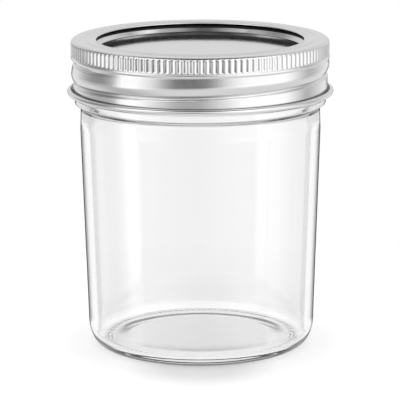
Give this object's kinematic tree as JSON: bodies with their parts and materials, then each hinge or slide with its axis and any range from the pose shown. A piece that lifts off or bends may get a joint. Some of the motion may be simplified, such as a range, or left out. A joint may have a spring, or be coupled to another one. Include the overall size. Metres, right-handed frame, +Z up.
{
  "type": "wide-mouth jar",
  "caption": "Clear tapered glass jar with a threaded mouth, a stepped metal lid disc with a sealing ring, and a knurled screw band.",
  "frame": {"origin": "middle of the foot, on the surface that the jar stands on", "axes": "+Z up along the jar's axis; -Y faces the viewer of the reference picture"},
  "size_m": [0.0752, 0.0752, 0.088],
  "materials": {
    "clear_glass": "clear, colourless, fire polished",
    "disc_tinplate": "bright rolled tinplate",
    "sealing_compound": "matt sealing compound",
    "band_tinplate": "satin rolled tinplate, fine vertical grain on the side"
  },
  "bodies": {
    "jar": {"glass_jar": "clear_glass"},
    "lid": {"lid_disc": "disc_tinplate", "sealing_ring": "sealing_compound"},
    "band": {"screw_band": "band_tinplate"}
  },
  "joints": [
    {"name": "lid_lift", "type": "slide", "parent": "jar", "child": "lid", "axis": [0, 0, 1], "range_m": [0, 0.01734]},
    {"name": "band_turn", "type": "hinge", "parent": "lid", "child": "band", "pos_m": [0, 0, 0.088], "axis": [0, 0, 1], "range_deg": [0, 1080]}
  ],
  "couplings": [
    {"joint": "lid_lift", "follows": "band_turn", "m_per_rad": 0.00091991}
  ]
}
